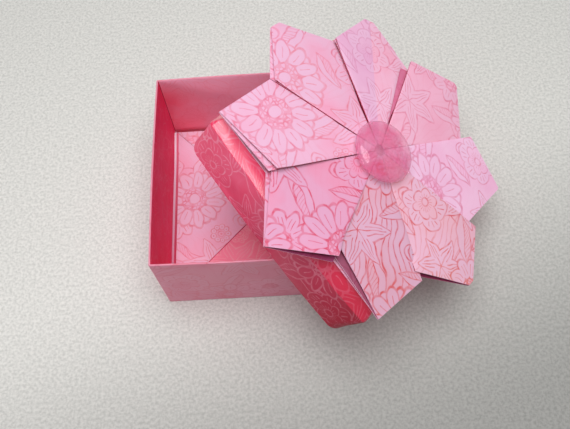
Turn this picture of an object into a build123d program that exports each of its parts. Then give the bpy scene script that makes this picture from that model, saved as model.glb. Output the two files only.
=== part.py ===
from build123d import *
import os
from math import acos, atan2, cos, degrees, radians, sin, sqrt, tan

# Small square box of folded printed paper with its lid leaning on it.
# The lid carries a star of eight folded kites and a glass cabochon.
# Millimetres, +Z up, origin at the middle of the base box's underside, +Y away from the viewer.

# The sheet, and how its plies lie
paper = 0.25                # thickness of the sheet
ply_gap = 0.2               # air between the two plies of a wall, and under the floor flaps
seam = 0.3                  # width of the seams between the four floor flaps
corner_fold = 0.6           # rounding of the upright corner creases
rim_fold = 0.2              # how far the folded rim is eased on each side
foot_bow = 0.05             # how far a bottom crease bows outwards

# The base box
base_side = 76.0
base_height = 38.0
base_bulge = 0.7            # how far the middle of a wall swells outwards
base_rim_bow = 0.4
hem_width = 1.6             # the sprung crease along the foot of the left wall
hem_height = 1.1
hem_drop = 0.3

# The lid box
lid_play = 1.0              # play between the lid's inside and the base box, on each side
lid_height = 25.2
lid_bulge = 1.5
lid_rim_bow = 1.0

# How the lid leans: two of its sides lie on the rims, and its far corner stands on the table
front_rest_x = 4.7          # where the front rim carries it
back_rest_x = 17.9          # where the back rim carries it
table_corner_y = -6.4       # where its corner meets the table
rest_gap = 0.15             # play under the lid, at the rims and at the table
rim_lift = 0.28             # room over the rims for the lean of the lid's wall
settle_steps = 60           # halvings that find where the corner meets the table

# The star
petal_count = 8
petal_ply_gap = 0.15        # air in the pocket of one kite
star_rise = 3.6             # height of the star's centre over the lid
petal_step = 1.9            # how far a kite's raised side stands over its tucked side
petal_tuck = 2.5            # how far the tucked side reaches under its neighbour
petal_seam = 0.1            # play along each long edge
petal_reveal = 0.8          # how far the lower ply shows past the upper one
pocket_fold = 0.6           # width of the closed fold along a long edge
seat_gap = 0.1              # play between the star and what carries it
star_hole = 2.0             # radius left open where the kites' points meet

# The glass cabochon
gem_diameter = 22.0
gem_height = 5.9
gem_foot_diameter = 19.0
gem_waist = 1.6             # height of its widest girth
gem_bevel = 0.9             # how far the shoulder under the dome draws in
gem_bevel_rise = 1.3        # and how high it is
gem_shift = 1.5             # how far off the star's middle it was glued, towards the front kite

wall = 2 * paper + ply_gap
flap_top = 2 * paper + ply_gap
lid_side = base_side + 2 * (wall + lid_play)
petal_thickness = 2 * paper + petal_ply_gap
half_angle = radians(180 / petal_count)
star_radius = lid_side / sqrt(2)


def bowed_square(level, side, bow, corner):
    """A square with rounded corners whose four sides bow outwards, drawn on the plane level."""
    half = side / 2
    corners = [(-half, -half), (half, -half), (half, half), (-half, half)]
    middles = [(0, -half - bow), (half + bow, 0), (0, half + bow), (-half - bow, 0)]
    with BuildSketch(level) as outline:
        with BuildLine():
            for number, middle in enumerate(middles):
                ThreePointArc(corners[number], middle, corners[(number + 1) % 4])
        make_face()
        fillet(outline.vertices(), corner)
    return outline.sketch


def folded_box(seat, side, height, bulge, rim_bow):
    """One sheet folded to a box: double walls, a folded rim and four flaps that meet on the floor.

    The outer face of its floor lies on the plane seat, and its mouth looks along that plane's normal.
    """

    rim_level = height - rim_fold

    def outer_bow(level):
        part_way = level / rim_level
        swell = bulge - (foot_bow + rim_bow) / 2
        return foot_bow + (rim_bow - foot_bow) * part_way + 4 * swell * part_way * (1 - part_way)

    def inner_bow(level):
        return foot_bow + (rim_bow - foot_bow) * level / rim_level

    def form(low, high, inset, bow, corner):
        levels = [low, (low + high) / 2, high]
        return [bowed_square(seat.offset(z), side - 2 * inset, bow(z), corner) for z in levels]

    def fold(inset, turned, corner, turned_corner):
        low = bowed_square(seat.offset(rim_level), side - 2 * inset, rim_bow, corner)
        return [low, bowed_square(seat.offset(height), side - 2 * turned, rim_bow, turned_corner)]

    inner_inset = paper + ply_gap
    with BuildPart() as box:
        loft(form(0, rim_level, 0, outer_bow, corner_fold))
        loft(fold(0, rim_fold, corner_fold, corner_fold - rim_fold))
        loft(form(paper, height - paper, paper, outer_bow, corner_fold - paper), mode=Mode.SUBTRACT)
        loft(form(inner_inset, rim_level, inner_inset, inner_bow, corner_fold - paper))
        loft(form(flap_top, rim_level, wall, inner_bow, paper), mode=Mode.SUBTRACT)
        loft(fold(wall, wall - rim_fold, paper, paper + rim_fold), mode=Mode.SUBTRACT)
        with BuildSketch(seat.offset(inner_inset)):
            for turn in (45, 135):
                Rectangle((side - 2 * wall - 2 * paper) * sqrt(2), seam, rotation=turn)
        extrude(amount=paper, mode=Mode.SUBTRACT)
    return box


def lean_lid():
    """The plane of the leaning lid's mouth, with its X axis along one side of the lid."""
    rest_level = base_height + rest_gap + rim_lift
    front_rest = Vector(front_rest_x, -base_side / 2, rest_level)
    back_rest = Vector(back_rest_x, base_side / 2, rest_level)

    def turn_past(reach):
        return degrees(acos(min(1.0, lid_side / reach)))

    near, far = base_side / 2, lid_side + base_side / 2
    for _ in range(settle_steps):
        table_corner = Vector((near + far) / 2, table_corner_y, rest_gap)
        to_front = front_rest - table_corner
        to_back = back_rest - table_corner
        spread = to_front.get_angle(to_back) + turn_past(to_front.length) + turn_past(to_back.length)
        if spread > 90:
            far = table_corner.X
        else:
            near = table_corner.X
    normal = to_back.cross(to_front).normalized()
    upright = Axis((0, 0, 0), normal)
    front_way = to_front.normalized().rotate(upright, turn_past(to_front.length))
    back_way = front_way.rotate(upright, -90)
    middle = table_corner + (front_way + back_way) * (lid_side / 2)
    return Plane(origin=middle, x_dir=front_way, z_dir=normal)


def kite_half(tip_radius, inset, start, tuck):
    """One half of a kite's outline, X along the kite and its long edge drawn in by inset.

    With a tuck, the outline reaches past the long edge from where the neighbour stands high enough.
    """
    edge_drop = inset / cos(half_angle)
    corner_x = (tip_radius + edge_drop) / (1 + tan(half_angle))
    points = [(start, 0), (start, start * tan(half_angle) - edge_drop)]
    if tuck:
        clear_x = corner_x * (petal_thickness + seat_gap) / petal_step
        points.append((clear_x, clear_x * tan(half_angle) - edge_drop))
        corner_x -= tuck / sqrt(2)
    points.append((corner_x, tip_radius - corner_x))
    points.append((tip_radius, 0))
    return points


def kite(star, number):
    """One folded kite: two plies, shut along the long edges and open towards the tip.

    It is twisted about its length, so that one side stands over the next kite's tucked side.
    """
    turn = number * 2 * half_angle
    length_way = star.x_dir * cos(turn) + star.y_dir * sin(turn)
    cross_way = star.y_dir * cos(turn) - star.x_dir * sin(turn)
    fall = (star_rise - seat_gap) / star_radius
    corner_x = star_radius / (1 + tan(half_angle))
    corner_y = star_radius - corner_x
    slip = petal_tuck / sqrt(2)
    tucked_slope = (star_rise - fall * (corner_x - slip) - seat_gap) / (corner_y + slip)
    raised_slope = petal_step / corner_y - tucked_slope
    upper_radius = star_radius - petal_reveal * sqrt(2)
    pocket_inset = petal_seam + pocket_fold
    pocket_start = star_hole + pocket_inset / sin(half_angle)

    with BuildPart() as petal:
        for side, slope, tuck in ((1, raised_slope, 0), (-1, tucked_slope, petal_tuck)):
            along = length_way - star.z_dir * fall
            across = cross_way + star.z_dir * slope
            half_plane = Plane(origin=star.origin, x_dir=along, z_dir=along.cross(across))
            plies = (
                (star_radius, petal_seam, star_hole, tuck, 0, paper, Mode.ADD),
                (upper_radius, petal_seam, star_hole, tuck, paper, petal_thickness, Mode.ADD),
                (star_radius, pocket_inset, pocket_start, 0, paper, paper + petal_ply_gap, Mode.SUBTRACT),
            )
            for radius, inset, start, reach, low, high, mode in plies:
                outline = [(x, side * y) for x, y in kite_half(radius, inset, start, reach)]
                with BuildSketch(half_plane.moved(Location(star.z_dir * low))):
                    Polygon(*outline, align=None)
                extrude(amount=high - low, dir=star.z_dir, mode=mode)
    return petal


os.makedirs("parts", exist_ok=True)

base_sheet = folded_box(Plane.XY, base_side, base_height, base_bulge, base_rim_bow)
foot = base_side / 2 - wall
with BuildPart() as base_box:
    add(base_sheet.part)
    with BuildSketch(Plane.XZ):
        Polygon(
            (-foot - paper / 2, flap_top),
            (-foot + hem_width, flap_top),
            (-foot + hem_width, flap_top + hem_height - hem_drop),
            (-foot - paper / 2, flap_top + hem_height),
            align=None,
        )
    extrude(amount=foot - hem_width, both=True)
base_box.part.label = "base_box"
export_step(base_box.part, "parts/base_box.step")

mouth = lean_lid()
lid_top = mouth.offset(lid_height)
lid_seat = Plane(origin=lid_top.origin, x_dir=lid_top.x_dir, z_dir=-lid_top.z_dir)
lid_box = folded_box(lid_seat, lid_side, lid_height, lid_bulge, lid_rim_bow)
lid_box.part.label = "lid_box"
export_step(lid_box.part, "parts/lid_box.step")

star_centre = lid_top.offset(star_rise)
corner_way = lid_top.x_dir - lid_top.y_dir
star_plane = Plane(origin=star_centre.origin, x_dir=corner_way, z_dir=lid_top.z_dir)
for number in range(petal_count):
    petal = kite(star_plane, number)
    name = f"petal_{number + 1}"
    petal.part.label = name
    export_step(petal.part, f"parts/{name}.step")

gem_seat = star_plane.offset(petal_thickness + seat_gap)
gem_middle = gem_seat.origin + gem_seat.y_dir * gem_shift
gem_profile = Plane(origin=gem_middle, x_dir=gem_seat.x_dir, z_dir=-gem_seat.y_dir)
gem_girth = gem_diameter / 2
gem_foot = gem_foot_diameter / 2
dome_foot = gem_girth - gem_bevel
dome_level = gem_waist + gem_bevel_rise
dome_rise = gem_height - dome_level
dome_radius = (dome_foot**2 + dome_rise**2) / (2 * dome_rise)
dome_centre = Vector(0, gem_height - dome_radius)
dome_edge = degrees(atan2(dome_level - dome_centre.Y, dome_foot))
with BuildPart() as centre_gem:
    with BuildSketch(gem_profile):
        with BuildLine():
            Line((0, 0), (gem_foot, 0))
            Line((gem_foot, 0), (gem_girth, gem_waist))
            Line((gem_girth, gem_waist), (dome_foot, dome_level))
            CenterArc(dome_centre, dome_radius, dome_edge, 90 - dome_edge)
            Line((0, gem_height), (0, 0))
        make_face()
    revolve(axis=Axis(gem_middle, gem_seat.z_dir))
centre_gem.part.label = "centre_gem"
export_step(centre_gem.part, "parts/centre_gem.step")
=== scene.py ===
import bpy
import math
import random
import numpy as np
from mathutils import Matrix, Vector


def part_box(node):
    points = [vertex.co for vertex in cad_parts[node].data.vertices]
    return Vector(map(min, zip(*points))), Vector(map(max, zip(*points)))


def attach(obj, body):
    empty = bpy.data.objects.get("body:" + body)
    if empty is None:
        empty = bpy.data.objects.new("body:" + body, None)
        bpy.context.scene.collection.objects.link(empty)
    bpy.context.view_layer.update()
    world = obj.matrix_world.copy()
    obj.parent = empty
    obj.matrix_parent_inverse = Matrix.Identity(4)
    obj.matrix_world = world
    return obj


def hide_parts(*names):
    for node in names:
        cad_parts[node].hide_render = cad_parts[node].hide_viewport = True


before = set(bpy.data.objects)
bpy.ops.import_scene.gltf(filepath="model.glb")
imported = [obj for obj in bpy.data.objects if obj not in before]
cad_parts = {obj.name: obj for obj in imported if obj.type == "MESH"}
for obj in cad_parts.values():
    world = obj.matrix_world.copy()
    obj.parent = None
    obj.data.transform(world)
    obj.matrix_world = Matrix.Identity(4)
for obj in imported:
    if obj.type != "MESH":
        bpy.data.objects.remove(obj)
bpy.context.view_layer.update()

# Sizes in metres, the same as in the CAD part
PAPER = 0.00025             # thickness of the sheet
WALL = 0.0007               # two plies and the air between them
PLY_GAP = 0.00015           # air in the pocket of one kite
BASE_SIDE = 0.076
FOOT_BOW = 0.00005          # how far a foot crease bows outwards
HEM_WIDTH, HEM_HEIGHT = 0.0016, 0.0011
STAR_RISE = 0.0036          # height of the star's centre over the lid
STEP = 0.0019               # how far a kite's raised side stands over its tucked side
TUCK = 0.0025               # how far the tucked side reaches under its neighbour
SEAT = 0.0001               # play between the star and the lid, and along each kite's long edges
HOLE = 0.002                # radius left open where the kites' points meet
HALF = math.radians(22.5)   # half the angle of one kite

# What the scene adds
FLAP_GAP = 0.0001414        # half the gap between two floor flaps, along a flap's edge
FLAP_PLAY = 0.0002          # gap between a floor flap and the wall
FLAP_REST = 0.00012         # air under a floor flap
FLAP_LIFT = 0.0003          # how far a flap's point stands up, and how much more every other one does
ODD_LIFT = 0.00015
SIDE_STEPS = 30             # faces along one side of a box
CORNER_STEPS = 7            # round one corner
WALL_STEPS = 21             # up a wall
RIM_STEPS = 8               # over the rim
FLAP_STEPS = 18             # and along a floor flap
SHOULDER_ROWS = (0, 0.04, 0.1, 0.2, 0.3, 0.4, 0.5, 0.6, 0.7, 0.8, 0.88, 0.95)
OUTSIDE, INSIDE, SHOULDER = range(3)            # parts of a wall's section
UPPER, SHADED_CRIMSON, EDGE, LOWER, LILAC = range(5)      # a kite's papers, by number
LONG_ROWS = 27              # rows of a kite's mesh up to its first notch
STEPS_ACROSS = 14           # and its faces from its middle to each side
SHEET_SHIFT = 37.0          # millimetres that a box's print is set off, times the box's seed
LINING_SHIFT = 61.0         # and millimetres that the print is set off inside a wall
BACKDROP = 0.45             # brightness of the backdrop behind the table

# The camera, fitted to the photograph
CAMERA_AT = (0.013483, -0.124476, 0.254465)
CAMERA_RIGHT = (0.99819, -0.04252, -0.04262)
CAMERA_DOWN = (-0.05667, -0.90254, -0.42686)
CAMERA_AHEAD = (-0.02031, 0.4285, -0.90331)
FOCAL_PIXELS = 698.47
PHOTO_WIDE = 570


def turned(x, y, angle):
    """A point turned about the origin."""
    c, s = math.cos(angle), math.sin(angle)
    return x * c - y * s, x * s + y * c


def srgb(r, g, b):
    """A colour given in 0 to 255 as the eye sees it, made linear."""
    return tuple(c / 12.92 if c <= 0.04045 else ((c + 0.055) / 1.055) ** 2.4
                 for c in (r / 255, g / 255, b / 255)) + (1.0,)


def vertices(node):
    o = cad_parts[node]
    co = np.zeros(len(o.data.vertices) * 3)
    o.data.vertices.foreach_get("co", co)
    return co.reshape(-1, 3)


def star_axes():
    """Middle, axes and radius of the star on the lid's top, and the lid's height, read from the CAD."""
    gem = vertices("centre_gem")
    middle = (gem.min(0) + gem.max(0)) / 2
    tips = []
    for number in range(1, 9):
        v = vertices(f"petal_{number}")
        far = v[np.argsort(-np.linalg.norm(v - middle, axis=1))[:4]]
        tips.append(far.mean(0))
    tips = np.array(tips)
    centre = tips.mean(0)
    along = tips[0] - tips[4]
    x = along / np.linalg.norm(along)
    y = tips[2] - tips[6]
    y = y - x * (y @ x)
    y /= np.linalg.norm(y)
    z = np.cross(x, y)
    radius = np.linalg.norm(along) / 2
    lid = (vertices("lid_box") - centre) @ np.array([x, y, z]).T
    top = lid[:, 2].max()
    return centre + z * top, x, y, z, radius, top - lid[:, 2].min()


STAR, SX, SY, SZ, RADIUS, LID_HEIGHT = star_axes()
LID_SIDE = RADIUS * math.sqrt(2)
base_low, base_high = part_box("base_box")

# The two boxes. foot is how far the shoulder over the foot crease draws in, how high it reaches and how flat
# it is. corner is the rounding of the upright corners at the foot, and mouth how much more each has at the
# rim. dent is the depth of the sheet's dents, spring how far the floor has sprung up towards the back wall,
# and groove the gap it leaves there. Each box names its papers, and what follows gives their numbers: outer
# for the wall and its shoulder, inner for each side, then the paper of the inner corners, floors for each
# flap, and hem for the edge and the side of the sprung crease at its left. On the base the outer wall's paper
# is a darker copy of the pale side, painted shade; the back wall inside has a painted sheen; the inner
# corners are a shaded crimson, painted shade; and the sprung crease's edge is painted pale as light, its side
# darker as shade.
BASE = dict(
    side=BASE_SIDE, height=base_high.z - base_low.z, bulge=0.0007, rim_bow=0.0004,
    foot=(0.00045, 0.00045, 0), corner=0.0006, mouth=(0, 0, 0, 0), dent=0.00022, seed=3,
    spring=0.0018, groove=0.0008,
    papers=("shaded_side_print", "crimson_print", "coral_print", "lilac_crease", "inside_print", "painted_sheen_print",
            "shaded_crimson_print", "shaded_hem_side"),
    outer=(0, 0), inner=(1, 1, 5, 1), crease=6, floors=(2, 4, 4, 4), hem=(3, 7),
)
LID = dict(
    side=LID_SIDE, height=LID_HEIGHT, bulge=0.0015, rim_bow=0.001,
    foot=(0.0036, 0.0076, 0.85), corner=0.001, mouth=(0.0038, 0.002, 0.0001, 0.0034), dent=0.0004, seed=8,
    spring=0, groove=0,
    papers=("wall_print", "pale_print", "shiny_print"),
    outer=(0, 2), inner=(1, 1, 1, 1), crease=1, floors=(1, 1, 1, 1),
)


def star_point(x, y, z):
    return STAR + SX * x + SY * y + SZ * z


def piece(name, shell, materials, node):
    """One piece of the object, which takes the place of one CAD node."""
    mesh = bpy.data.meshes.new(name)
    mesh.from_pydata([tuple(p) for p in shell.points], [], shell.faces)
    layer = mesh.uv_layers.new(name="sheet")
    pairs = [pair for uv in shell.uvs for pair in uv]
    for corner, pair in zip(layer.data, pairs):
        corner.uv = pair
    for material in materials:
        mesh.materials.append(material)
    for polygon, pick in zip(mesh.polygons, shell.picks):
        polygon.material_index = pick
        polygon.use_smooth = True
    mesh.update()
    mesh.set_sharp_from_angle(angle=math.radians(38))
    thing = bpy.data.objects.new(name, mesh)
    bpy.context.scene.collection.objects.link(thing)
    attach(thing, "root")
    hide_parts(node)


def picked(pick, r, c):
    """A material's number, from a number or a function of the row and column."""
    return pick(r, c) if callable(pick) else pick


class Shell:
    """Collects grids of points into one mesh, with UVs in millimetres and a material for each face."""

    def __init__(self):
        self.points, self.faces, self.uvs, self.picks = [], [], [], []

    def grid(self, rows, uv_rows, pick, loop=False, flip=False):
        start = len(self.points)
        wide = len(rows[0])
        for row in rows:
            self.points.extend(row)
        for r in range(len(rows) - 1):
            near, far = start + r * wide, start + (r + 1) * wide
            for c in range(wide if loop else wide - 1):
                d = (c + 1) % wide
                uv = [uv_rows[r][c], uv_rows[r][c + 1], uv_rows[r + 1][c + 1], uv_rows[r + 1][c]]
                self.face([near + c, near + d, far + d, far + c], uv, picked(pick, r, c), flip)
        return start

    def face(self, ids, uv, pick, flip=False):
        ids, uv = list(ids), list(uv)
        if flip:
            ids.reverse()
            uv.reverse()
        self.faces.append(ids)
        self.uvs.append(uv)
        self.picks.append(pick)


def wave(seed, scale):
    """A smooth random height over a plane, between about -1 and 1."""
    maker = random.Random(seed)
    terms = []
    for _ in range(7):
        angle = maker.uniform(0, math.tau)
        length = scale * maker.uniform(0.6, 1.8)
        turns = math.tau / length
        terms.append((math.cos(angle) * turns, math.sin(angle) * turns, maker.uniform(0, math.tau)))
    return lambda x, y: sum(math.sin(a * x + b * y + c) for a, b, c in terms) / 3.2


def smooth(low, high, value):
    t = min(1.0, max(0.0, (value - low) / (high - low)))
    return t * t * (3 - 2 * t)


def square_loop(side, bow, corners):
    """Points round a square with bowed sides, with how far round each one lies, and its side.

    Each side ends in a corner of its own radius.
    """
    h = side / 2
    out = []
    for number in range(4):
        turn = number * math.pi / 2
        before, after = corners[number - 1], corners[number]
        for i in range(SIDE_STEPS + 1):
            t = -1 + 2 * i / SIDE_STEPS
            p, q = -h + before + (side - before - after) * i / SIDE_STEPS, -(h + bow * (1 - t * t))
            out.append(turned(p, q, turn) + (side * number + h + p, number))
        for i in range(1, CORNER_STEPS):
            angle = -math.pi / 2 + math.pi / 2 * i / CORNER_STEPS
            p, q = h - after + after * math.cos(angle), -h + after + after * math.sin(angle)
            way = side * number + side - after + after * 2 * i / CORNER_STEPS
            out.append(turned(p, q, turn) + (way, number))
    return out


def wall_section(box):
    """A wall in section, up the outside, over the rim and down inside: how far in, how high, which part."""
    height = box["height"]
    foot_in, foot_up, flat = box["foot"]
    rim = height - WALL / 2

    def shoulder(t):
        angle = math.pi / 2 * t
        return (foot_in * ((1 - math.sin(angle)) * (1 - flat) + (1 - t) * flat),
                foot_up * ((1 - math.cos(angle)) * (1 - flat) + t * flat))

    section = [shoulder(t) + (SHOULDER,) for t in SHOULDER_ROWS]
    section.append(shoulder(1) + (OUTSIDE,))
    wall_up = height - foot_up - WALL / 2
    section.append((0, foot_up + wall_up * 0.012, OUTSIDE))
    section += [(0, foot_up + wall_up * i / WALL_STEPS, OUTSIDE) for i in range(1, WALL_STEPS + 1)]
    for i in range(1, RIM_STEPS):
        angle = math.pi * i / RIM_STEPS
        part = INSIDE if i > 6 else OUTSIDE
        section.append((WALL / 2 * (1 - math.cos(angle)), rim + WALL / 2 * math.sin(angle), part))
    for i in range(WALL_STEPS + 1):
        section.append((WALL, rim - (rim - WALL - foot_up) * i / WALL_STEPS, INSIDE))
    for i in range(1, 9):
        inset, up = shoulder(1 - i / 8)
        section.append((WALL + inset, WALL + up, INSIDE))
    return section


def wall_bow(box, part, z):
    """How far the middle of a wall bows outwards at a height. The outside also swells halfway up."""
    t = z / box["height"]
    bow = FOOT_BOW + (box["rim_bow"] - FOOT_BOW) * t
    if part == INSIDE:
        return bow
    return bow + 4 * (box["bulge"] - (FOOT_BOW + box["rim_bow"]) / 2) * t * (1 - t)


def box_walls(shell, box, place):
    """The double wall as one closed sheet, with the underside and the ply that the flaps lie on."""
    side, height, seed = box["side"], box["height"], box["seed"]
    ripple, crumple = wave(seed, 0.034), wave(seed + 1, 0.012)
    section = wall_section(box)
    rows, uvs = [], []
    travel = 0
    for n, (inset, z, part) in enumerate(section):
        if n:
            travel += math.dist(section[n - 1][:2], (inset, z))
        lining = 1 if part == INSIDE else 0
        level = z / height
        spread = smooth(0.1, 1.0, level)
        corners = [max(box["corner"] + extra * spread - inset * 0.6, PAPER) for extra in box["mouth"]]
        row, uv = [], []
        for x, y, way, number in square_loop(side - 2 * inset, wall_bow(box, part, z), corners):
            t = (way - side * number) / side
            edge = min(1, max(0, 4 * t * (1 - t))) * smooth(0, 0.15, level)
            if lining:
                edge *= smooth(1.0, 0.8, level)
            push = box["dent"] * edge * (ripple(way + 0.3 * lining, z) + 0.5 * crumple(way + 0.5 * lining, z))
            push *= smooth(1, 0.9, level) * 0.8 + 0.2
            nx, ny = ((0, -1), (1, 0), (0, 1), (-1, 0))[number]
            row.append(place(x + nx * push, y + ny * push, z))
            uv.append((way * 1000 + seed * SHEET_SHIFT, travel * 1000 + LINING_SHIFT * lining))
        uv.append((side * 4000 + seed * SHEET_SHIFT, uv[0][1]))
        rows.append(row)
        uvs.append(uv)
    count = len(rows[0])

    def pick(r, c):
        part = section[r][2]
        if part == INSIDE:
            number, along = divmod(c, count // 4)
            # The inner corners take their own paper, on the base a shaded crimson: painted shade in the
            # corners.
            return box["crease"] if along > SIDE_STEPS else box["inner"][number]
        return box["outer"][1 if part == SHOULDER else 0]

    shell.grid(rows, uvs, pick, loop=True)
    last = (len(rows) - 1) * count
    shell.face(range(count), uvs[0][:count], box["outer"][0], flip=True)
    shell.face(range(last, last + count), uvs[-1][:count], box["inner"][0])


def sprung(box, y):
    """How far the base's floor has sprung up at a distance towards the back."""
    return box["spring"] * smooth(0.5, 0.97, y / (box["side"] / 2))


def floor_flaps(shell, box, place):
    """Four flaps that meet in the middle of the floor, each a little curled."""
    reach = box["side"] / 2 - WALL - FLAP_PLAY
    seed = box["seed"]
    for number, pick in enumerate(box["floors"]):
        curl = wave(seed + 20 + number, 0.04)
        odd = number % 2
        top, under, uvs = [], [], []
        outer = 1 - box["groove"] / reach if number == 2 else 1
        for i in range(FLAP_STEPS + 1):
            f = outer * (1 - i / FLAP_STEPS)
            row_top, row_under, uv = [], [], []
            for j in range(FLAP_STEPS + 1):
                p = (-1 + 2 * j / FLAP_STEPS) * max(reach * f - FLAP_GAP, 0)
                q = -reach * f
                rise = WALL + FLAP_REST + (FLAP_LIFT + ODD_LIFT * odd) * (1 - f) * smooth(0, 0.5, 1 - f)
                rise += 0.00018 * curl(p, q) * (1 - f * f) * 2 + 0.00005 * odd
                x, y = turned(p, q, number * math.pi / 2)
                rise += sprung(box, y)
                row_top.append(place(x, y, rise + PAPER))
                row_under.append(place(x, y, rise))
                uv.append((x * 1000 + seed * 11 + 23 * number, y * 1000 + 41 * number))
            top.append(row_top)
            under.append(row_under)
            uvs.append(uv)
        sheet_solid(shell, top, under, uvs, pick, pick, pick)


def box_shell(box, place):
    shell = Shell()
    box_walls(shell, box, place)
    floor_flaps(shell, box, place)
    return shell


def sheet_solid(shell, top, under, uvs, pick_top, pick_under, pick_edge):
    """A thin sheet as a closed solid: two grids and the strip round their edge."""
    a = shell.grid(top, uvs, pick_top)
    b = shell.grid(under, uvs, pick_under, flip=True)
    tall, wide = len(top), len(top[0])
    ring = [(r, 0) for r in range(tall)] + [(tall - 1, c) for c in range(1, wide)]
    ring += [(r, wide - 1) for r in range(tall - 2, -1, -1)] + [(0, c) for c in range(wide - 2, 0, -1)]
    for n, (r, c) in enumerate(ring):
        r2, c2 = ring[(n + 1) % len(ring)]
        ids = [a + r * wide + c, a + r2 * wide + c2, b + r2 * wide + c2, b + r * wide + c]
        uv = [uvs[r][c], uvs[r2][c2], uvs[r2][c2], uvs[r][c]]
        shell.face(ids, uv, picked(pick_edge, r, c), flip=True)


def hem_strip(shell, pick, pick_side):
    """The sprung fold along the foot of the left wall, painted pale on top as light and darker on its side as
    shade.
    """
    foot = BASE_SIDE / 2 - WALL
    shape = (
        (-0.0001, 0.0), (-0.0001, HEM_HEIGHT), (0.0003, HEM_HEIGHT + 0.00012), (0.0008, HEM_HEIGHT - 0.00002),
        (HEM_WIDTH - 0.0001, HEM_HEIGHT - 0.0003), (HEM_WIDTH, HEM_HEIGHT - 0.00045), (HEM_WIDTH, 0.0),
    )
    steps = 40
    rows, uvs = [], []
    for i in range(steps + 1):
        t = -1 + 2 * i / steps
        y = t * (foot - HEM_WIDTH)
        row, uv = [], []
        lift = 0.0001 * math.sin(3 * t + 1) + sprung(BASE, y)
        for dx, dz in shape:
            row.append((-foot + dx, y, WALL + dz + (lift if dz else 0)))
            uv.append((y * 1000, dx * 1000))
        rows.append(row)
        uvs.append(uv)
    wide = len(rows[0])
    start = shell.grid(rows, uvs, lambda r, c: pick if c < 3 else pick_side)
    for r, flip in ((0, True), (steps, False)):
        ids = [start + r * wide + c for c in range(wide)]
        shell.face(ids, [uvs[r][c] for c in range(wide)], pick, flip=flip)
    for r in range(steps):
        near, far = start + r * wide, start + (r + 1) * wide
        ids = [near, far, far + wide - 1, near + wide - 1]
        shell.face(ids, [uvs[r][0], uvs[r + 1][0], uvs[r + 1][-1], uvs[r][-1]], pick, flip=True)


# How each kite differs from a plain one, with its raised side before its tucked side: how far the plies
# stand apart at the two notches (gape), how far the lower ply shows there (show), how far the lower ply
# itself draws back (under), and how steeply the edge from the tip runs to each notch (reach). Then how far
# its tip droops, how high its raised side stands, how much narrower its upper ply is on the tucked side, how
# much of its tip is cut off, and how its print is turned and set off.
PLAIN = dict(gape=(0.0, 0.0), show=(0.0, 0.0), under=(0.0, 0.0), narrow=0.0, cut=0.0)
KITES = [
    dict(gape=(0.0009, 0.0), show=(0.0021, 0.0), reach=(1.0, 1.0), droop=0.0002, stand=1.15,
         turn=20, at=(12, 40)),
    dict(gape=(0.0021, 0.0007), show=(0.0013, 0.0012), reach=(1.12, 1.0), droop=0.0005, stand=0.85,
         turn=75, at=(55, 10)),
    dict(gape=(0.0, 0.0014), show=(0.0, 0.0036), under=(0.0, 0.0014), reach=(1.16, 1.0), droop=0.0003,
         stand=0.2, turn=130, at=(33, 71)),
    dict(gape=(0.0, 0.0017), show=(0.0, 0.0006), reach=(1.3, 1.0), droop=0.0007, stand=0.35, cut=0.0012,
         turn=200, at=(80, 31)),
    dict(reach=(1.5, 1.0), droop=0.0002, stand=0.15, cut=0.0004, turn=250, at=(5, 5)),
    dict(gape=(0.0002, 0.0), reach=(1.22, 1.0), droop=0.0006, stand=0.6, cut=0.0008, turn=300, at=(62, 58)),
    dict(gape=(0.0006, 0.0), reach=(0.95, 1.0), droop=0.0009, stand=1.25, narrow=0.0026, cut=0.0022,
         turn=345, at=(20, 90)),
    dict(gape=(0.0005, 0.0), show=(0.0012, 0.0), reach=(1.0, 1.0), droop=0.0008, stand=0.5, cut=0.0022,
         turn=40, at=(90, 77)),
]


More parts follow.
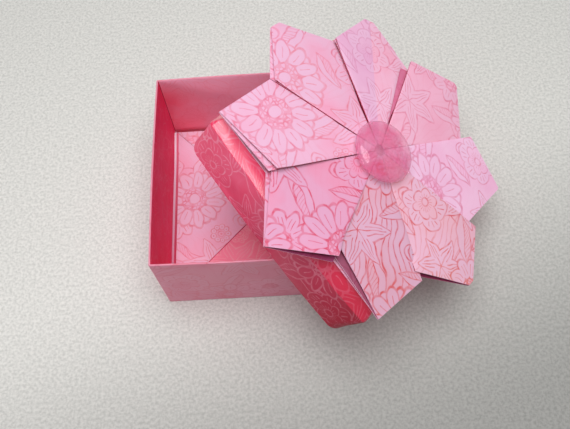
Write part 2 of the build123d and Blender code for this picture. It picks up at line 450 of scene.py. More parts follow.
def kite_piece(number, materials):
    """One kite of folded paper: the lower ply, the upper ply with its folded long edges, and the open tip."""
    form = PLAIN | KITES[number]
    turn = number * math.pi / 4
    fall = (STAR_RISE - SEAT) / RADIUS
    corner_x = RADIUS / (1 + math.tan(HALF))
    corner_y = RADIUS - corner_x
    slip = TUCK / math.sqrt(2)
    tucked = (STAR_RISE - fall * (corner_x - slip) - SEAT) / (corner_y + slip)
    raised = (STEP * (0.3 + 0.7 * form["stand"]) / corner_y) - tucked
    ripple = wave(300 + number, 0.03)
    print_turn = math.radians(form["turn"])
    shell = Shell()

    def place(x, y, z):
        return star_point(*turned(x, y, turn), z)

    def ground(x, y):
        z = STAR_RISE - fall * x + (raised if y > 0 else tucked) * y
        over = max(0, (x + abs(y)) / RADIUS - 0.72)
        return z - form["droop"] * over * over * 8 + 0.00012 * ripple(x, y) * smooth(0, 0.02, x)

    def long_edge(x, tuck):
        y = x * math.tan(HALF) - SEAT / math.cos(HALF)
        clear_x = corner_x * (2 * PAPER + PLY_GAP + SEAT) / STEP
        if tuck and x > clear_x:
            y += min(tuck, (x - clear_x) * tuck / (corner_x - slip - clear_x))
        return y

    def tip_slope(side, show):
        """How steeply the edge from the tip to the notch runs, drawn in at the notch by show."""
        slope = form["reach"][side]
        edge = RADIUS * math.tan(HALF) / (slope + math.tan(HALF)) * math.hypot(1, slope)
        return math.tan(math.atan(slope) - show / edge)

    def notch(slope, tuck):
        low, high = 0.5 * RADIUS, RADIUS
        for _ in range(40):
            middle = (low + high) / 2
            if long_edge(middle, tuck) < (RADIUS - middle) * slope:
                low = middle
            else:
                high = middle
        return low

    def ply(show, rise, gape, narrow, pick_top, offset):
        tucks = (0, 0 if narrow else TUCK)
        slopes = [tip_slope(side, show[side]) for side in (0, 1)]
        notches = [notch(slopes[side], tucks[side]) for side in (0, 1)]
        end = RADIUS - max(form["cut"], 0.00005)
        first, last = sorted(notches)
        xs = [HOLE + (first - HOLE) * i / (LONG_ROWS - 1) for i in range(LONG_ROWS)]
        xs += [first + (last - first) * i / 4 for i in range(1, 5)] if last - first > 0.0003 else []
        xs += [xs[-1] + (end - xs[-1]) * (1 - (1 - i / 18) ** 1.4) for i in range(1, 19)]
        top, under, uvs = [], [], []
        for x in xs:
            half = [min(long_edge(x, tucks[side]), (RADIUS - x) * slopes[side]) for side in (0, 1)]
            half[1] -= narrow * smooth(0.1, 1, x / corner_x) * smooth(notches[1] + 0.006, notches[1], x)
            row_top, row_under, uv = [], [], []
            for j in range(2 * STEPS_ACROSS + 1):
                t = j / STEPS_ACROSS - 1
                y = half[0] * t if t > 0 else half[1] * t
                side = 0 if t > 0 else 1
                out = (x + abs(y) / slopes[side]) / RADIUS
                free = 1 - abs(t) ** 8 * (1 - smooth(0.72, 1.0, x / notches[side]))
                z = ground(x, y) + rise
                z += gape[side] * smooth(0.68, 1.0, out) * min(1, abs(y) / corner_y) ** 0.8 * free
                fold = smooth(0.93, 1.0, abs(t)) * smooth(1.0, 0.9, x / notches[side]) * (1 if rise else 0)
                row_top.append(place(x, y, z + PAPER - fold * 0.00016))
                row_under.append(place(x, y, z - fold * 0.00008))
                u, v = turned(x * 1000 + offset, y * 1000, print_turn)
                uv.append((u + form["at"][0], v + form["at"][1]))
            top.append(row_top)
            under.append(row_under)
            uvs.append(uv)
        sheet_solid(shell, top, under, uvs, pick_top, SHADED_CRIMSON, edge_pick)

    # The long folded edges take the shaded crimson: painted shade in the seams between the kites.
    def edge_pick(r, c):
        return SHADED_CRIMSON if r < LONG_ROWS and c in (0, 2 * STEPS_ACROSS) else EDGE

    def lower_pick(r, c):
        """The kite behind has the lower ply's own paper on a part of it only, and the kite at the front left
        has its shaded pocket paper, painted shade, on one half only.
        """
        if number == 6:
            return LOWER if c < 9 and r < LONG_ROWS else UPPER
        if number == 1:
            return LOWER if c >= STEPS_ACROSS else UPPER
        return LOWER

    def upper_pick(r, c):
        return LILAC if number == 6 and c >= STEPS_ACROSS else UPPER

    ply(form["under"], 0.0, (0.0, 0.0), 0.0, lower_pick, 31)
    ply(form["show"], PAPER + PLY_GAP, form["gape"], form["narrow"], upper_pick, 0)
    piece(f"kite_{number + 1}", shell, materials, f"petal_{number + 1}")


def gem_piece(material):
    """The flat-backed glass cabochon, turned as one profile."""
    gem = vertices("centre_gem")
    local = (gem - STAR) @ np.array([SX, SY, SZ]).T
    low, high = local.min(0), local.max(0)
    middle = (low + high) / 2
    base, tall, girth = low[2], high[2] - low[2], (high[0] - low[0]) / 2
    foot, waist, side = girth * 0.864, tall * 0.271, girth * 0.2
    rise = tall - waist
    inner = girth - side
    dome = (inner ** 2 + rise ** 2 - side ** 2) / (2 * (rise - side))
    spring = math.atan2(waist - (tall - dome), inner)
    profile = [(foot * i / 6, 0.0) for i in range(7)]
    profile += [(foot + (girth - foot) * i / 4, waist * i / 4) for i in range(1, 5)]
    for i in range(1, 15):
        a = spring * i / 14
        profile.append((inner + side * math.cos(a), waist + side * math.sin(a)))
    for i in range(1, 25):
        a = spring + (math.pi / 2 - spring) * i / 24
        profile.append((dome * math.cos(a) if i < 24 else 0.0, tall - dome + dome * math.sin(a)))
    around = 96
    shell = Shell()
    rows, uvs = [], []
    for r, z in profile:
        row, uv = [], []
        for i in range(around):
            a = math.tau * i / around
            wobble = 0.992 + 0.005 * math.sin(2 * a + 0.6) + 0.003 * math.sin(3 * a)
            x, y = middle[0] + r * wobble * math.cos(a), middle[1] + r * wobble * math.sin(a)
            row.append(star_point(x, y, base + z))
            uv.append((r * 1000 * math.cos(a), r * 1000 * math.sin(a)))
        uv.append(uv[0])
        rows.append(row)
        uvs.append(uv)
    shell.grid(rows[1:-1], uvs[1:-1], 0, loop=True)
    start = len(shell.points)
    shell.points += [rows[0][0], rows[-1][0]]
    last = (len(rows) - 3) * around
    for i in range(around):
        j = (i + 1) % around
        shell.face([start, i, j], [(0, 0)] * 3, 0, flip=True)
        shell.face([start + 1, last + i, last + j], [(0, 0)] * 3, 0)
    piece("cabochon", shell, [material], "centre_gem")


class Value:
    """A number that shader nodes work out, written with ordinary arithmetic."""

    def __init__(self, tree, socket):
        self.tree, self.socket = tree, socket

    def math(self, operation, *others, clamp=False):
        node = self.tree.nodes.new("ShaderNodeMath")
        node.operation = operation
        node.use_clamp = clamp
        for socket, value in zip(node.inputs, (self,) + others):
            if isinstance(value, Value):
                self.tree.links.new(value.socket, socket)
            else:
                socket.default_value = value
        return Value(self.tree, node.outputs[0])

    def __add__(self, other):
        return self.math("ADD", other)

    def __sub__(self, other):
        return self.math("SUBTRACT", other)

    def __mul__(self, other):
        return self.math("MULTIPLY", other)

    def __truediv__(self, other):
        return self.math("DIVIDE", other)

    def __lt__(self, other):
        return self.math("LESS_THAN", other)

    def __gt__(self, other):
        return self.math("GREATER_THAN", other)

    def abs(self):
        return self.math("ABSOLUTE")

    def clamped(self):
        return self.math("MULTIPLY", 1.0, clamp=True)

    def either(self, other):
        return self.math("MAXIMUM", other)

    def both(self, other):
        return self.math("MULTIPLY", other)


def axes(tree, vector):
    """The three numbers of a vector's socket."""
    node = tree.nodes.new("ShaderNodeSeparateXYZ")
    tree.links.new(vector, node.inputs[0])
    return [Value(tree, socket) for socket in node.outputs]


def vector_math(tree, operation, *values):
    node = tree.nodes.new("ShaderNodeVectorMath")
    node.operation = operation
    for socket, value in zip(node.inputs, values):
        if isinstance(value, bpy.types.NodeSocket):
            tree.links.new(value, socket)
        else:
            socket.default_value = value
    return node


TILE = 92.0                 # the print repeats after this
LINE = 0.36                 # width of a drawn line
PRINT_SCALE = 1.5           # how much smaller the print is on the paper

# The drawn motifs, the lowest first: kind, place on the tile, size, turn in degrees, and how many petals
MOTIFS = [
    ("leaf", 8, 66, 13, 35, 1), ("leaf", 66, 12, 15, 200, 1), ("leaf", 50, 66, 14, 300, 1),
    ("leaf", 22, 30, 12, 120, 1), ("leaf", 61, 90, 12, 80, 1), ("leaf", 90, 84, 11, 255, 1),
    ("leaf", 40, 10, 12, 15, 1), ("leaf", 84, 48, 11, 150, 1), ("lily", 30, 56, 19, 10, 6),
    ("lily", 84, 4, 17, 35, 5), ("lily", 56, 34, 16, 50, 6), ("curl", 64, 58, 6.0, 10, 0),
    ("curl", 4, 40, 5.0, 190, 0), ("curl", 46, 84, 5.0, 270, 0), ("pearls", 34, 76, 6.5, 0, 9),
    ("pearls", 3, 24, 6.0, 15, 8), ("daisy", 8, 88, 14, 12, 9), ("daisy", 42, 20, 14, 40, 8),
    ("rosette", 88, 30, 14, 0, 6), ("sun", 74, 73, 22, 0, 12), ("sun", 18, 8, 19, 14, 11),
]


def floral_print():
    """Line drawings of flowers, leaves, curls and pearls that repeat over the sheet, as a node group.

    Ink is 1 on a line, Fill is 1 inside a flower's petal, and Flow is 1 on the lines between the flowers.
    """
    tree = bpy.data.node_groups.new("floral_print", "ShaderNodeTree")
    tree.interface.new_socket("Sheet", in_out="INPUT", socket_type="NodeSocketVector")
    for name in ("Ink", "Fill", "Flow"):
        tree.interface.new_socket(name, in_out="OUTPUT", socket_type="NodeSocketFloat")
    entry = tree.nodes.new("NodeGroupInput")
    way_out = tree.nodes.new("NodeGroupOutput")

    # A hand's unsteadiness
    noise = tree.nodes.new("ShaderNodeTexNoise")
    noise.inputs["Scale"].default_value = 0.09
    noise.inputs["Detail"].default_value = 1.0
    tree.links.new(entry.outputs[0], noise.inputs["Vector"])
    shift = vector_math(tree, "SUBTRACT", noise.outputs["Color"], (0.5, 0.5, 0.5))
    shift = vector_math(tree, "SCALE", shift.outputs[0])
    shift.inputs["Scale"].default_value = 5.0
    sheet = vector_math(tree, "ADD", entry.outputs[0], shift.outputs[0]).outputs[0]

    def length(x, y):
        node = tree.nodes.new("ShaderNodeCombineXYZ")
        for socket, value in zip(node.inputs, (x, y)):
            tree.links.new(value.socket, socket)
        return Value(tree, vector_math(tree, "LENGTH", node.outputs[0]).outputs["Value"])

    def stroke(distance, width=LINE):
        """1 on a line and soft at its edges, from the distance to it."""
        return distance.abs().math("MULTIPLY_ADD", -1.1 / width, 1.7, clamp=True)

    def outside(inside):
        return inside * -1.0 + 1.0

    def petal_ways(r, angle, count, offset=0.0):
        """Along and across the flower's nearest petal."""
        sector = math.pi / count
        a = (angle + offset).math("WRAP", sector, -sector)
        return r * a.math("COSINE"), r * a.math("SINE")

    def oval(p, q, low, high, wide):
        """How far out of an oval petal a place is: 1 on its edge."""
        return length((p - (low + high) / 2) / ((high - low) / 2), q / wide)

    # Lace for the rings of the large flowers, and the flowing lines that fill the ground
    lace = tree.nodes.new("ShaderNodeTexVoronoi")
    lace.feature = "DISTANCE_TO_EDGE"
    lace.inputs["Scale"].default_value = 0.4
    tree.links.new(sheet, lace.inputs["Vector"])
    lace = stroke(Value(tree, lace.outputs["Distance"]), LINE * 0.34)
    flow = tree.nodes.new("ShaderNodeTexNoise")
    flow.inputs["Scale"].default_value = 0.032
    flow.inputs["Detail"].default_value = 0.5
    tree.links.new(sheet, flow.inputs["Vector"])
    flow = Value(tree, flow.outputs["Fac"])

    sx, sy, _ = axes(tree, sheet)
    turns = math.tau / TILE
    flowing = stroke((sx * 0.75 + sy * 0.5 + flow * 34.0).math("WRAP", 2.0, -2.0))

    def tendril(along, across, swing, place):
        """A long wavy stem from one side of the tile to the other."""
        return stroke((along.math("SINE") * swing + place - across).math("WRAP", TILE / 2, -TILE / 2))

    ink = tendril(sx * turns + 0.5, sy, 9, 20)
    ink = ink.either(tendril(sx * (2 * turns) + 1.0, sy, 6, 66)).either(tendril(sy * turns + 2.0, sx, 11, 62))
    fill = None

    def sun(r, angle, size, count):
        p, q = petal_ways(r, angle, count, math.pi / count)
        back = oval(p, q, 0.36 * size, 0.94 * size, size * 0.16)
        line = stroke((back - 1.0) * (size * 0.16))
        p, q = petal_ways(r, angle, count)
        front = oval(p, q, 0.36 * size, size, size * 0.17)
        inside = front < 1.0
        rib = stroke(q, LINE * 0.6).both(p > size * 0.5).both(p < size * 0.78)
        line = line.both(outside(inside)).either(stroke((front - 1.0) * (size * 0.17))).either(rib)
        petals = inside.either(back < 1.0)
        ring = r < size * 0.4
        line = line.both(outside(ring)).either(lace.both(ring).both(r > size * 0.17))
        line = line.either(stroke(r - size * 0.4)).either(stroke(r - size * 0.17))
        return line, petals.either(ring), petals.both(outside(ring)).either(r < size * 0.16)

    def lily(r, angle, size, count):
        p, q = petal_ways(r, angle, count)
        t = (p / size).math("MAXIMUM", 0.0)
        width = t.math("SQRT") * (t * -1.0 + 1.0) * (size * 0.62)
        side = q.abs()
        petal = (side < width).both(r < size)
        vein = stroke(side - width * 0.42, LINE * 0.6).both(t > 0.25).both(t < 0.7)
        middle = stroke(side, LINE * 0.7).both(t < 0.8)
        line = stroke(side - width).both(t < 0.99).either(vein).either(middle)
        return line, petal, petal

    def rosette(r, angle, size, count):
        sector = math.pi / count
        a = angle.math("WRAP", sector, -sector)
        cusp = (angle * (count / 2)).math("COSINE").abs().math("POWER", 0.55)
        rim = cusp * (size * 0.26) + size * 0.74
        inner_cusp = (angle * (count / 2)).math("SINE").abs().math("POWER", 0.6)
        inner = inner_cusp * (size * 0.2) + size * 0.4
        line = stroke(r - rim).either(stroke(r - inner)).either(stroke(r - size * 0.17))
        rays = stroke(a * r, LINE * 0.7).both(r > size * 0.62).both(r < size * 0.88)
        side = stroke((a.abs() - sector * 0.42) * r, LINE * 0.6).both(r > size * 0.64).both(r < size * 0.82)
        fine = stroke((angle * (count * 1.5 / math.pi)).math("WRAP", 0.5, -0.5), 0.09)
        fine = fine.both(r > size * 0.2).both(r < size * 0.36)
        return line.either(rays).either(side).either(fine), r < rim, (r < rim).both(r > inner)

    def daisy(r, angle, size, count):
        wide = size * math.sin(math.pi / count) * 0.72
        p, q = petal_ways(r, angle, count)
        petal = oval(p, q, size * 0.26, size, wide)
        ribs = stroke(q.abs() - wide * 0.3, LINE * 0.55).both(p > size * 0.42).both(p < size * 0.76)
        eye = size * 0.27
        pips = lace.both(r < eye)
        line = stroke((petal - 1.0) * wide).both(r > eye).either(ribs).either(stroke(r - eye)).either(pips)
        inside = petal < 1.0
        return line, inside.either(r < eye), inside.both(r > eye)

    def pearls(r, angle, size, count):
        p, q = petal_ways(r, angle, count)
        bead = size * math.sin(math.pi / count) * 0.74
        dot = length(p - size * 0.72, q)
        line = stroke(dot - bead, LINE * 0.8).either(dot < bead * 0.3)
        line = line.either(stroke(r - size * 0.3)).either(r < size * 0.12)
        return line, r < size, dot < bead

    def leaf(r, angle, size, count):
        p, q = r * angle.math("COSINE"), r * angle.math("SINE")
        side = q.abs()
        t = p / size
        edge = (t * t * -1.0 + 1.0) * (size * 0.34)
        within = (side < edge).both(t.abs() < 1.0)
        line = stroke(side - edge).both(t.abs() < 1.03).either(stroke(side, LINE * 0.8).both(t.abs() < 1.0))
        ribs = stroke((p + side * 1.1).math("WRAP", 1.1, -1.1), LINE * 0.5).both(within).both(q > 0.0)
        return line.either(ribs), within, within.both(q < 0.0)

    def curl(r, angle, size, count):
        pitch = size / 2.2
        line = stroke((r - angle * (pitch / math.tau)).math("WRAP", pitch / 2, -pitch / 2))
        inside = r < size
        return line.both(inside), inside, inside.both(r < 0.0)

    draw = dict(sun=sun, lily=lily, rosette=rosette, daisy=daisy, pearls=pearls, leaf=leaf, curl=curl)
    for kind, at_x, at_y, size, turn, count in MOTIFS:
        away = vector_math(tree, "SUBTRACT", sheet, (at_x, at_y, 0)).outputs[0]
        local = vector_math(tree, "WRAP", away, (TILE / 2,) * 3, (-TILE / 2,) * 3).outputs[0]
        x, y, _ = axes(tree, local)
        r = length(x, y)
        angle = y.math("ARCTAN2", x) + math.radians(turn)
        line, inside, filled = draw[kind](r, angle, size, count)
        clear = outside(inside)
        ink = ink.both(clear).either(line)
        flowing = flowing.both(clear)
        fill = filled if fill is None else fill.both(clear).either(filled)
    tree.links.new(ink.socket, way_out.inputs[0])
    tree.links.new(fill.socket, way_out.inputs[1])
    tree.links.new(flowing.socket, way_out.inputs[2])
    return tree


PRINT = floral_print()


def noise(tree, vector, scale, detail, distortion=0.0):
    node = tree.nodes.new("ShaderNodeTexNoise")
    node.inputs["Scale"].default_value = scale
    node.inputs["Detail"].default_value = detail
    node.inputs["Distortion"].default_value = distortion
    tree.links.new(vector, node.inputs["Vector"])
    return node.outputs["Fac"]


def mix(tree, amount, first, other):
    """The first colour turned to the other by an amount; each colour is a socket or a plain colour."""
    node = tree.nodes.new("ShaderNodeMix")
    node.data_type = "RGBA"
    tree.links.new(amount.socket, node.inputs["Factor"])
    for socket, value in ((node.inputs[6], first), (node.inputs[7], other)):
        if isinstance(value, bpy.types.NodeSocket):
            tree.links.new(value, socket)
        else:
            socket.default_value = value
    return node.outputs[2]


def two_colours(tree, amount, low, low_colour, high, high_colour):
    """A colour ramp from one colour to another."""
    ramp = tree.nodes.new("ShaderNodeValToRGB")
    for element, place, colour in zip(ramp.color_ramp.elements, (low, high), (low_colour, high_colour)):
        element.position = place
        element.color = srgb(*colour)
    tree.links.new(amount, ramp.inputs["Fac"])
    return ramp.outputs["Color"]


def bump(tree, shader, height, strength, distance):
    node = tree.nodes.new("ShaderNodeBump")
    node.inputs["Strength"].default_value = strength
    node.inputs["Distance"].default_value = distance
    tree.links.new(height, node.inputs["Height"])
    tree.links.new(node.outputs[0], shader.inputs["Normal"])


def new_material(name):
    """A material, its node tree and its shader."""
    material = bpy.data.materials.new(name)
    material.use_nodes = True
    return material, material.node_tree, material.node_tree.nodes["Principled BSDF"]


# Each paper's colours are its ground, the blush on it, the flowers' petals and the two colours of the lines.
# ink is how strong the lines are, and flow how strong the flowing ones are against them. A paper may also
# have
# painted shading along the sheet: two places, then a far one, and the colour painted in before the first and
# at the far one, painted shade on some papers and painted sheen on others, with the lines drawn fainter
# there. And it may have a painted sheen towards the rim: a place near the rim, one below it, and the colour
# at the rim.
PAPERS = {
    # The kites' papers follow. The grounds of those at the front (rose, coral_line) are darker and of those
    # at the back (bright, violet, warm) paler: partly their own print, partly painted shade and light.
    "pale_print": dict(
        colours=((240, 184, 214), (244, 166, 198), (236, 194, 224), (228, 88, 124), (232, 108, 128)),
        ink=0.66),
    "bright_print": dict(
        colours=((250, 196, 224), (252, 180, 208), (246, 204, 232), (228, 88, 128), (232, 108, 134)),
        ink=0.6),
    "rose_print": dict(
        colours=((231, 164, 198), (240, 144, 178), (226, 173, 208), (218, 60, 96), (222, 72, 104)),
        ink=0.84, flow=0.05),
    "peach_print": dict(
        colours=((244, 190, 214), (244, 182, 198), (236, 194, 222), (222, 84, 96), (226, 104, 92)),
        ink=0.84, flow=0.5),
    "coral_line_print": dict(
        colours=((228, 178, 204), (228, 164, 184), (222, 182, 212), (212, 72, 86), (218, 86, 80)),
        ink=0.9, flow=0.95),
    "warm_print": dict(
        colours=((252, 186, 214), (250, 172, 202), (246, 198, 226), (228, 88, 128), (232, 108, 134)),
        ink=0.6),
    "violet_print": dict(
        colours=((255, 202, 234), (252, 188, 224), (248, 210, 240), (222, 92, 138), (226, 104, 142)),
        ink=0.66, flow=0.05),
    "lilac_print": dict(
        colours=((246, 192, 224), (238, 176, 214), (242, 200, 230), (210, 104, 152), (216, 112, 148)),
        ink=0.5, flow=0.0),
    # The base's outer walls: a darker copy of the pale side, painted shade.
    "shaded_side_print": dict(
        colours=((230, 148, 170), (226, 136, 160), (228, 158, 182), (206, 70, 96), (220, 92, 104)),
        ink=0.5),
    "inside_print": dict(
        colours=((244, 196, 226), (246, 182, 212), (244, 212, 236), (228, 84, 112), (234, 104, 122)),
        ink=0.62, flow=0.1),
    "crimson_print": dict(
        colours=((246, 58, 106), (248, 74, 122), (246, 66, 114), (250, 160, 180), (244, 134, 158)),
        ink=0.26, rough=0.6, coat=0.0, gloss=0.1),
    # The base's back wall inside: a paler copy of the crimson side, painted light, with a painted sheen that
    # grows to the right and towards the rim.
    "painted_sheen_print": dict(
        colours=((255, 96, 126), (252, 138, 168), (252, 104, 136), (244, 84, 108), (252, 160, 186)),
        ink=0.3, rough=0.3, coat=0.75, painted_shading=(296, 334, 900, (255, 190, 216)),
        rim_sheen=(100, 113, (255, 194, 220))),
    # The lid's shoulder and outer wall: darker crimson painted in towards the lid's front corner as painted
    # shade, with fainter lines there.
    "shiny_print": dict(
        colours=((240, 48, 96), (244, 66, 112), (242, 58, 102), (248, 176, 206), (242, 140, 176)),
        ink=0.34, rough=0.24, coat=0.6, painted_shading=(304, 356, 612, (204, 40, 70)), flow=0.1),
    "wall_print": dict(
        colours=((240, 84, 122), (240, 104, 140), (242, 94, 132), (250, 184, 208), (242, 152, 184)),
        ink=0.46, coat=0.12, gloss=0.15, painted_shading=(298, 360, 612, (162, 20, 48)), flow=0.1),
    "coral_print": dict(
        colours=((255, 142, 172), (252, 130, 162), (255, 158, 186), (255, 206, 214), (252, 190, 202)),
        ink=0.6, rough=0.45, coat=0.1),
    "wedge_print": dict(
        colours=((226, 128, 166), (222, 116, 156), (228, 136, 172), (214, 88, 130), (214, 88, 130)),
        ink=0.4, coat=0.0),
    # Dark papers for the lower plies where they lie inside the kites' pockets: painted shade.
    "shaded_pocket_print": dict(
        colours=((132, 34, 66), (150, 60, 104), (140, 40, 74), (170, 70, 110), (170, 70, 110)),
        ink=0.4, coat=0.0),
    "shaded_mauve_print": dict(
        colours=((160, 80, 108), (168, 96, 126), (162, 90, 118), (140, 40, 74), (140, 40, 74)),
        ink=0.6, coat=0.0),
    "paper_edge": dict(
        colours=((240, 180, 208), (236, 168, 200), (238, 182, 210), (232, 130, 160), (232, 130, 160)),
        ink=0.3, rough=0.6, coat=0.0),
    # The top of the sprung crease: painted pale as light catching it, and darker towards the front end.
    "lilac_crease": dict(
        colours=((246, 236, 255), (242, 228, 252), (244, 232, 254), (230, 160, 190), (230, 160, 190)),
        ink=0.15, rough=0.35, coat=0.2, painted_shading=(-26, 30, 400, (206, 126, 160))),
    # Its side: darker than the top as painted shade, and darker still towards the front end.
    "shaded_hem_side": dict(
        colours=((236, 124, 152), (232, 112, 142), (238, 130, 158), (226, 90, 120), (226, 90, 120)),
        ink=0.2, coat=0.0, painted_shading=(-16, 34, 400, (204, 62, 96))),
    # A darker copy of the crimson side, painted shade: on the kites' undersides and long edges and in the
    # base's inner corners.
    "shaded_crimson_print": dict(
        colours=((176, 22, 58), (186, 34, 72), (182, 30, 68), (210, 90, 120), (210, 90, 120)),
        ink=0.2, coat=0.05),
}


def paper(name, colours, ink, rough=0.5, coat=0.08, gloss=0.25, painted_shading=None, rim_sheen=None, flow=0.15):
    """Printed paper: a ground with soft washes, paler petals, drawn lines, fibre and a faint bump, and on
    some papers a painted shade or a painted sheen.
    """
    ground, blush, petal, line, other_line = (srgb(*colour) for colour in colours)
    material, tree, shader = new_material(name)
    shader.inputs["Coat Weight"].default_value = coat
    shader.inputs["Coat Roughness"].default_value = 0.2
    shader.inputs["Specular IOR Level"].default_value = gloss
    uv = tree.nodes.new("ShaderNodeUVMap")
    uv.uv_map = "sheet"
    sheet = uv.outputs[0]

    def cloud(scale, detail, seed):
        move = vector_math(tree, "ADD", sheet, (seed * 13.1, seed * 7.7, seed * 3.3))
        return Value(tree, noise(tree, move.outputs[0], scale, detail))

    group = tree.nodes.new("ShaderNodeGroup")
    group.node_tree = PRINT
    scaled = vector_math(tree, "SCALE", sheet)
    scaled.inputs["Scale"].default_value = PRINT_SCALE
    tree.links.new(scaled.outputs[0], group.inputs[0])
    drawn, fill, flowing = (Value(tree, group.outputs[i]) for i in range(3))
    drawn = drawn.either(flowing * flow)

    wash = ((cloud(0.05, 3, 1) - 0.42) * 4.5).clamped()
    colour = mix(tree, wash, ground, blush)
    colour = mix(tree, fill * 0.36, colour, petal)
    place, depth, _ = axes(tree, sheet)
    # Painted shading along the sheet: the colour painted in towards its ends, darker as painted shade on the
    # lid's wall and paler as painted sheen on the base's back wall, with fainter lines there.
    if painted_shading:
        first, second, far, painted_colour = painted_shading
        along = ((place - first) / (second - first)).math("MINIMUM", (place * -1.0 + far) / 60.0).clamped()
        colour = mix(tree, along, srgb(*painted_colour), colour)
        drawn = drawn * (along * 0.55 + 0.45)
    # A painted sheen towards the rim.
    if rim_sheen:
        first, second, painted_colour = rim_sheen
        colour = mix(tree, ((depth - first) / (second - first)).clamped(), srgb(*painted_colour), colour)
    fibre = cloud(3.2, 4, 2)
    colour = mix(tree, (fibre - 0.5).abs() * 0.3, colour, ground)
    pressure = ((cloud(0.4, 2, 3) - 0.2) * 2.2).math("MAXIMUM", 0.5).math("MINIMUM", 1.0)
    drawn = drawn * pressure * ink
    wander = ((cloud(0.03, 2, 7) - 0.45) * 7.0).clamped()
    colour = mix(tree, drawn, colour, mix(tree, wander, line, other_line))
    tree.links.new(colour, shader.inputs["Base Color"])
    roughness = fibre * 0.22 + (rough - 0.11)
    tree.links.new((roughness - drawn * 0.05).socket, shader.inputs["Roughness"])
    bump(tree, shader, (fibre + cloud(0.25, 2, 4) * 1.5).socket, 0.12, 0.0002)
    return material


def glass():
    """Tinted glass with paler clouds in it."""
    material, tree, shader = new_material("pink_glass")
    shader.inputs["IOR"].default_value = 1.5
    shader.inputs["Transmission Weight"].default_value = 0.35
    shader.inputs["Alpha"].default_value = 0.44
    shader.inputs["Coat Weight"].default_value = 0.9
    shader.inputs["Roughness"].default_value = 0.04
    place = tree.nodes.new("ShaderNodeTexCoord")
    clouds = noise(tree, place.outputs["Object"], 190, 4, distortion=1.2)
    colour = two_colours(tree, clouds, 0.38, (254, 104, 166), 0.62, (255, 170, 212))
    tree.links.new(colour, shader.inputs["Base Color"])
    bump(tree, shader, clouds, 0.05, 0.0004)
    return material


def table_top():
    """The pale speckled table the object stands on, with a soft shade in front of it to the right."""
    material, tree, shader = new_material("table_top")
    shader.inputs["Roughness"].default_value = 0.55
    shader.inputs["Specular IOR Level"].default_value = 0.25
    place = tree.nodes.new("ShaderNodeTexCoord")
    specks = noise(tree, place.outputs["Object"], 900, 4)
    specks.node.inputs["Roughness"].default_value = 0.7
    colour = two_colours(tree, specks, 0.36, (200, 201, 197), 0.6, (228, 228, 224))
    east, north, _ = axes(tree, place.outputs["Object"])
    far = ((east * 0.35 - north) / 0.125).clamped()
    beyond = ((north + 0.6) / 0.4).clamped()
    dark = far * far * (far * -2.0 + 3.0) * beyond * beyond * 0.54
    tree.links.new(mix(tree, dark, colour, (0.0, 0.0, 0.0, 1.0)), shader.inputs["Base Color"])
    return material


def on_lid(x, y, z):
    """A place on the lid, with its top down on the plane z = 0, to where it leans."""
    px, py = turned(x, y, math.radians(45))
    return star_point(px, -py, -z)


def build_base(sheets):
    shell = box_shell(BASE, lambda x, y, z: (x, y, z))
    hem_strip(shell, *BASE["hem"])
    piece("base_sheet", shell, [sheets[name] for name in BASE["papers"]], "base_box")


def build_lid(sheets):
    shell = box_shell(LID, on_lid)
    piece("lid_sheet", shell, [sheets[name] for name in LID["papers"]], "lid_box")


def build_star(sheets):
    # Each kite's upper ply has its own print; kites 2 and 3 at the front also have darker grounds and kites 5
    # to 7 paler ones, partly painted shade and light.
    uppers = ("pale", "rose", "coral_line", "peach", "violet", "warm", "bright", "pale")
    # The lower plies of kites 2 to 4 take the shaded papers: painted shade in their pockets.
    lowers = ("pale", "shaded_pocket", "shaded_mauve", "shaded_pocket", "violet", "warm", "wedge", "pale")
    for number, (upper, lower) in enumerate(zip(uppers, lowers)):
        names = (f"{upper}_print", "shaded_crimson_print", "paper_edge", f"{lower}_print", "lilac_print")
        kite_piece(number, [sheets[name] for name in names])


def build_object():
    sheets = {name: paper(name, **look) for name, look in PAPERS.items()}
    build_base(sheets)
    build_lid(sheets)
    build_star(sheets)
    gem_piece(glass())


def build_floor():
    bpy.ops.mesh.primitive_plane_add(size=8.0, location=(0, 0, 0))
    floor = bpy.context.object
    floor.name = "floor"
    floor.data.materials.append(table_top())


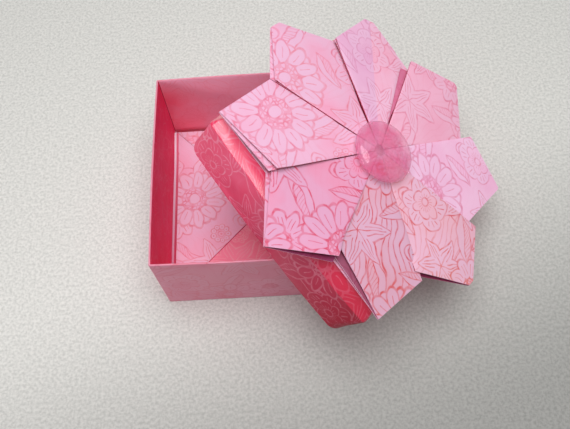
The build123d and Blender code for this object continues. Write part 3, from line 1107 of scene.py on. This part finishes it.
def build_room():
    """The room's own light, which is brighter overhead and at the back than towards the viewer.

    Behind the table the camera sees a plain pale backdrop, which gloss and glass show too.
    """
    world = bpy.data.worlds.new("room")
    bpy.context.scene.world = world
    world.use_nodes = True
    tree = world.node_tree
    back = tree.nodes["Background"]
    back.inputs["Color"].default_value = (1.0, 0.995, 0.99, 1)
    where = tree.nodes.new("ShaderNodeTexCoord")
    _, north, up = axes(tree, where.outputs["Generated"])
    light = (up * 0.34 + north * 0.14 + 0.1).math("MAXIMUM", 0.04)
    ray = tree.nodes.new("ShaderNodeLightPath")
    kinds = ("Camera", "Glossy", "Transmission")
    camera, glossy, through = (Value(tree, ray.outputs[f"Is {kind} Ray"]) for kind in kinds)
    seen = (camera + glossy + through).clamped()
    tree.links.new((light + seen * (light * -1.0 + BACKDROP)).socket, back.inputs["Strength"])


def lamp(name, at, size, power, colour, along=None):
    """A soft lamp that looks at the object: round, or a strip whose length runs along a direction."""
    data = bpy.data.lights.new(name, "AREA")
    data.energy = power
    data.color = colour
    light = bpy.data.objects.new(name, data)
    bpy.context.scene.collection.objects.link(light)
    away = (Vector(at) - Vector((0.02, 0, 0.03))).normalized()
    if along:
        data.shape = "RECTANGLE"
        data.size, data.size_y = size
        across = away.cross(Vector(along)).normalized()
        light.rotation_euler = Matrix((across.cross(away), across, away)).transposed().to_euler()
    else:
        data.shape = "DISK"
        data.size = size
        light.rotation_euler = away.to_track_quat("Z", "Y").to_euler()
    light.location = at


def build_stage():
    build_floor()
    build_room()
    lamp("overhead", at=(0.03, -0.05, 0.5), size=0.4, power=1.92, colour=(1.0, 0.995, 0.985))
    lamp("left", at=(-0.44, -0.28, 0.2), size=(0.2, 0.1), power=0.62, colour=(1.0, 0.94, 0.975),
         along=(0.56, -0.72, -0.41))


def build_camera():
    data = bpy.data.cameras.new("camera")
    data.sensor_width = 36.0
    data.lens = FOCAL_PIXELS / PHOTO_WIDE * data.sensor_width
    camera = bpy.data.objects.new("camera", data)
    bpy.context.scene.collection.objects.link(camera)
    right, down, ahead = Vector(CAMERA_RIGHT), Vector(CAMERA_DOWN), Vector(CAMERA_AHEAD)
    turn = Matrix((right, -down, -ahead)).transposed().to_4x4()
    camera.matrix_world = Matrix.Translation(CAMERA_AT) @ turn
    data.clip_start = 0.01
    bpy.context.scene.camera = camera


build_camera()
build_object()
build_stage()
bpy.context.scene.view_settings.view_transform = "Standard"

bpy.context.view_layer.update()
